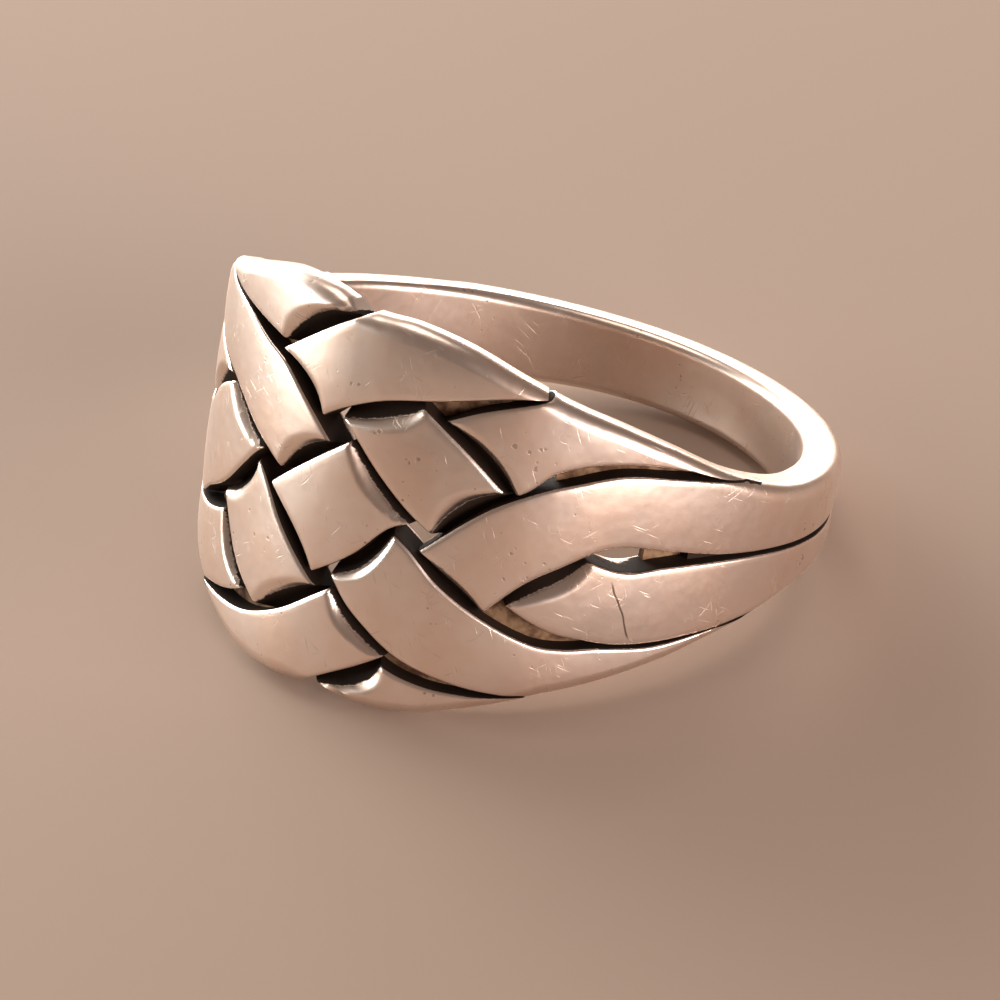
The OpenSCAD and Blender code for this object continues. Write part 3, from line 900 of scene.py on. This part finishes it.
lines = None
for turn_of_lines, width, length, amount in ((0.35, 0.075, 1.1, 0.47), (-0.6, 0.09, 1.5, 0.43),
                                             (1.2, 0.07, 0.9, 0.5), (2.2, 0.08, 1.3, 0.44)):
    node = add_node(metal, "ShaderNodeGroup", node_tree=scratches)
    link(metal, skin_place.outputs["Vector"], node.inputs["Place"])
    node.inputs["Turn"].default_value = (0, 0, turn_of_lines)
    node.inputs["Width"].default_value = width * MM
    node.inputs["Length"].default_value = length * MM
    node.inputs["Amount"].default_value = amount
    lines = node.outputs[0] if lines is None else calculate(metal, "MAXIMUM", lines, node.outputs[0])
print("nodes with the scratches:", len(metal.nodes))

# %% A fine join line across the strip right of the open lens
JOIN_TURN, JOIN_SLANT, JOIN_TOP, JOIN_FOOT = 50.8, -2.76, -0.5, -2.4
bend = calculate(metal, "MULTIPLY_ADD", grain(metal, place, 1 / (0.7 * MM), 1.0, 0.4), 0.016, -0.008)
join_turn = calculate(metal, "MULTIPLY_ADD", calculate(metal, "SUBTRACT", along_here, JOIN_TOP * MM),
                      math.radians(JOIN_SLANT) / MM, math.radians(JOIN_TURN))
off_join = calculate(metal, "ADD", calculate(metal, "SUBTRACT", turn_here, join_turn), bend)
on_join = between(metal, calculate(metal, "ABSOLUTE", off_join), 0.0016, 0.0042, 1.0, 0.0)
past_foot = between(metal, along_here, (JOIN_FOOT - 0.1) * MM, (JOIN_FOOT + 0.2) * MM)
short_of_top = between(metal, along_here, (JOIN_TOP - 0.3) * MM, JOIN_TOP * MM, 1.0, 0.0)
beside = times(metal, past_foot, short_of_top)
join_line = times(metal, on_join, times(metal, beside, outside), clamp=True)
print("join line from", JOIN_FOOT, "to", JOIN_TOP, "mm along the finger")

# %% Pits, small, uneven and in clusters
wobble_noise = add_node(metal, "ShaderNodeTexNoise")
link(metal, place, wobble_noise.inputs["Vector"])
wobble_noise.inputs["Scale"].default_value = 1 / (0.09 * MM)
wobble = calculate_vector(metal, "MULTIPLY_ADD", wobble_noise.outputs["Color"], (0.1 * MM,) * 3, place)
cells = add_node(metal, "ShaderNodeTexVoronoi")
link(metal, wobble, cells.inputs["Vector"])
cells.inputs["Scale"].default_value = 1 / (0.3 * MM)
pit_size = calculate(metal, "MULTIPLY_ADD", grain(metal, place, 1 / (1.9 * MM), 2.0, 0.5), 1.15, -0.53)
pits = times(metal, calculate(metal, "SUBTRACT", pit_size, cells.outputs["Distance"]), 9.0, clamp=True)
print("nodes with all the masks:", len(metal.nodes))

# %% [markdown]
# The masks are laid over one another in turn: clean metal, the brown border of the tarnish,
# scratches and pits, tarnish, wax, the painted shade inside the hole, and last the join line.

# %% Colour
cloud = grain(metal, place, 1 / (2.4 * MM), 3.0, 0.55)
fine_cloud = grain(metal, place, 1 / (0.25 * MM), 4.0, 0.6)
clean = mixed(metal, between(metal, cloud, 0.35, 0.68), PROUD_SILVER, DEEP_SILVER)
toned = mixed(metal, times(metal, halo, 0.6), clean, HALO_BROWN)
marks = calculate(metal, "MAXIMUM", times(metal, lines, 0.42), times(metal, pits, 0.85))
scored = mixed(metal, marks, toned, MARK_BROWN)
black = mixed(metal, tarnish, scored, TARNISH_BLACK)
lumps = grain(metal, place, 1 / (0.5 * MM), 3.0, 0.55)
wax_colour = mixed(metal, between(metal, lumps, 0.36, 0.64), DARK_WAX, PALE_WAX)
waxed = mixed(metal, wax, black, wax_colour)
# Painted shade: the colour inside the hole is darkened towards brown.
bore_shaded = mixed(metal, between(metal, height, 0.0, 0.05, 0.4, 0.0), waxed, BORE_SHADE_BROWN)
joined = mixed(metal, times(metal, join_line, 0.8), bore_shaded, JOIN_BROWN)
link(metal, joined, shader.inputs["Base Color"])
print("nodes with the colour:", len(metal.nodes))

# %% Shine and relief
dull = calculate(metal, "MAXIMUM", tarnish, wax)
gloss = calculate(metal, "MULTIPLY_ADD", cloud, 0.16, 0.2)
gloss = calculate(metal, "MULTIPLY_ADD", fine_cloud, 0.08, gloss)
gloss = calculate(metal, "MULTIPLY_ADD", calculate(metal, "MAXIMUM", lines, pits), 0.2, gloss)
gloss = calculate(metal, "MULTIPLY_ADD", dull, 0.4, gloss)
gloss = calculate(metal, "ADD", gloss, between(metal, height, 0.0, 0.05, 0.06, 0.0), clamp=True)
link(metal, gloss, shader.inputs["Roughness"])
bare = calculate(metal, "SUBTRACT", 1.0, times(metal, dull, 0.9), clamp=True)
link(metal, bare, shader.inputs["Metallic"])

relief = times(metal, grain(metal, place, 1 / (1.2 * MM), 2.0, 0.5), 0.022 * MM)
relief = calculate(metal, "MULTIPLY_ADD", fine_cloud, 0.0016 * MM, relief)
relief = calculate(metal, "MULTIPLY_ADD", lines, -0.0025 * MM, relief)
dents = calculate(metal, "MAXIMUM", times(metal, pits, 0.5), join_line)
relief = calculate(metal, "MULTIPLY_ADD", dents, -0.007 * MM, relief)
relief = calculate(metal, "MULTIPLY_ADD", times(metal, dull, fine_cloud), 0.012 * MM, relief)
shader.inputs["Specular IOR Level"].default_value = 0.2
bump = add_node(metal, "ShaderNodeBump")
link(metal, relief, bump.inputs["Height"])
bump.inputs["Distance"].default_value = 1.0
bump.inputs["Strength"].default_value = 1.0
link(metal, bump.outputs["Normal"], shader.inputs["Normal"])
print("silver:", len(metal.nodes), "nodes")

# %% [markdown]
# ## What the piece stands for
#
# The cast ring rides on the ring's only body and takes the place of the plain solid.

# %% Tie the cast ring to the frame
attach(ring, "root")
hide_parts("braided_ring")
print("cast ring rides on the root body")

# %% [markdown]
# ## Floor, light and camera
#
# Metal shows what it reflects, so the light is part of its finish: one broad soft light
# low on the left, weaker ones on the right, behind and above, and a warm dim room.

# %% A plain pale floor
floor_mesh = bpy.data.meshes.new("pale_floor")
reach = 2.0
floor_corners = [(-reach, -reach, 0), (reach, -reach, 0), (reach, reach, 0), (-reach, reach, 0)]
floor_mesh.from_pydata(floor_corners, [], [(0, 1, 2, 3)])
floor = bpy.data.objects.new("pale_floor", floor_mesh)
bpy.context.scene.collection.objects.link(floor)
pale = bpy.data.materials.new("pale_floor")
pale.use_nodes = True
pale_shader = pale.node_tree.nodes["Principled BSDF"]
pale_shader.inputs["Base Color"].default_value = (0.44, 0.335, 0.275, 1)
pale_shader.inputs["Roughness"].default_value = 0.9
floor_mesh.materials.append(pale)
print("floor spans", 2 * reach, "m")

# %% Soft lights
TARGET = Vector((0, 0, 0.005))


def soft_light(name, direction, distance, width, height_of_light, power, colour):
    lamp = bpy.data.lights.new(name, "AREA")
    lamp.shape = "RECTANGLE"
    lamp.size, lamp.size_y = width, height_of_light
    lamp.energy, lamp.color = power, colour
    holder = bpy.data.objects.new(name, lamp)
    bpy.context.scene.collection.objects.link(holder)
    holder.location = TARGET + Vector(direction).normalized() * distance
    holder.rotation_euler = (TARGET - holder.location).to_track_quat("-Z", "Y").to_euler()


soft_light("overhead", (-0.3, 0.25, 1.0), 0.7, 0.3, 0.3, 1.0, (1.0, 0.88, 0.78))
soft_light("left_window", (-0.99, 0.0, 0.2), 0.5, 0.95, 0.18, 4.7, (1.0, 0.99, 0.93))
soft_light("high_left", (-0.95, 0.26, 0.3), 0.5, 0.25, 0.25, 1.4, (1.0, 0.96, 0.9))
soft_light("right_bounce", (0.98, -0.13, 0.16), 0.5, 0.5, 0.16, 3.5, (1.0, 0.86, 0.8))
soft_light("back_window", (-0.47, 0.88, 0.2), 0.5, 0.5, 0.15, 1.4, (1.0, 0.9, 0.82))
room = bpy.data.worlds.new("warm_room")
room.use_nodes = True
room.node_tree.nodes["Background"].inputs["Color"].default_value = (0.42, 0.31, 0.25, 1)
room.node_tree.nodes["Background"].inputs["Strength"].default_value = 0.42
bpy.context.scene.world = room
bpy.context.scene.view_settings.view_transform = "Standard"

# %% [markdown]
# The camera was fitted to the ring standing upright, so it is set there and then
# laid down together with the ring.

# %% The camera at the photograph's angle
YAW, PITCH, ROLL = math.radians(31.58), math.radians(-22.10), math.radians(9.64)
AT = Vector((48.99, -80.35, 35.89)) * MM
LENS, SENSOR = 115.98, 36.0
ahead = Vector((-math.sin(YAW) * math.cos(PITCH), math.cos(YAW) * math.cos(PITCH), math.sin(PITCH)))
level = ahead.cross(Vector((0, 0, 1))).normalized()
over = level.cross(ahead)
right_of = math.cos(ROLL) * level + math.sin(ROLL) * over
above = math.cos(ROLL) * over - math.sin(ROLL) * level
stand = Matrix.Translation(AT) @ Matrix((right_of, above, -ahead)).transposed().to_4x4()
lens = bpy.data.cameras.new("photo_view")
lens.lens, lens.sensor_width = LENS, SENSOR
lens.clip_start, lens.clip_end = 0.001, 10
camera = bpy.data.objects.new("photo_view", lens)
bpy.context.scene.collection.objects.link(camera)
camera.matrix_world = Matrix.Translation(lift) @ lay_down @ stand
bpy.context.scene.camera = camera
bpy.context.view_layer.update()
looks_along = camera.matrix_world.to_3x3() @ Vector((0, 0, -1))
print("camera looks down by", round(math.degrees(math.asin(-looks_along.z)), 1), "degrees")
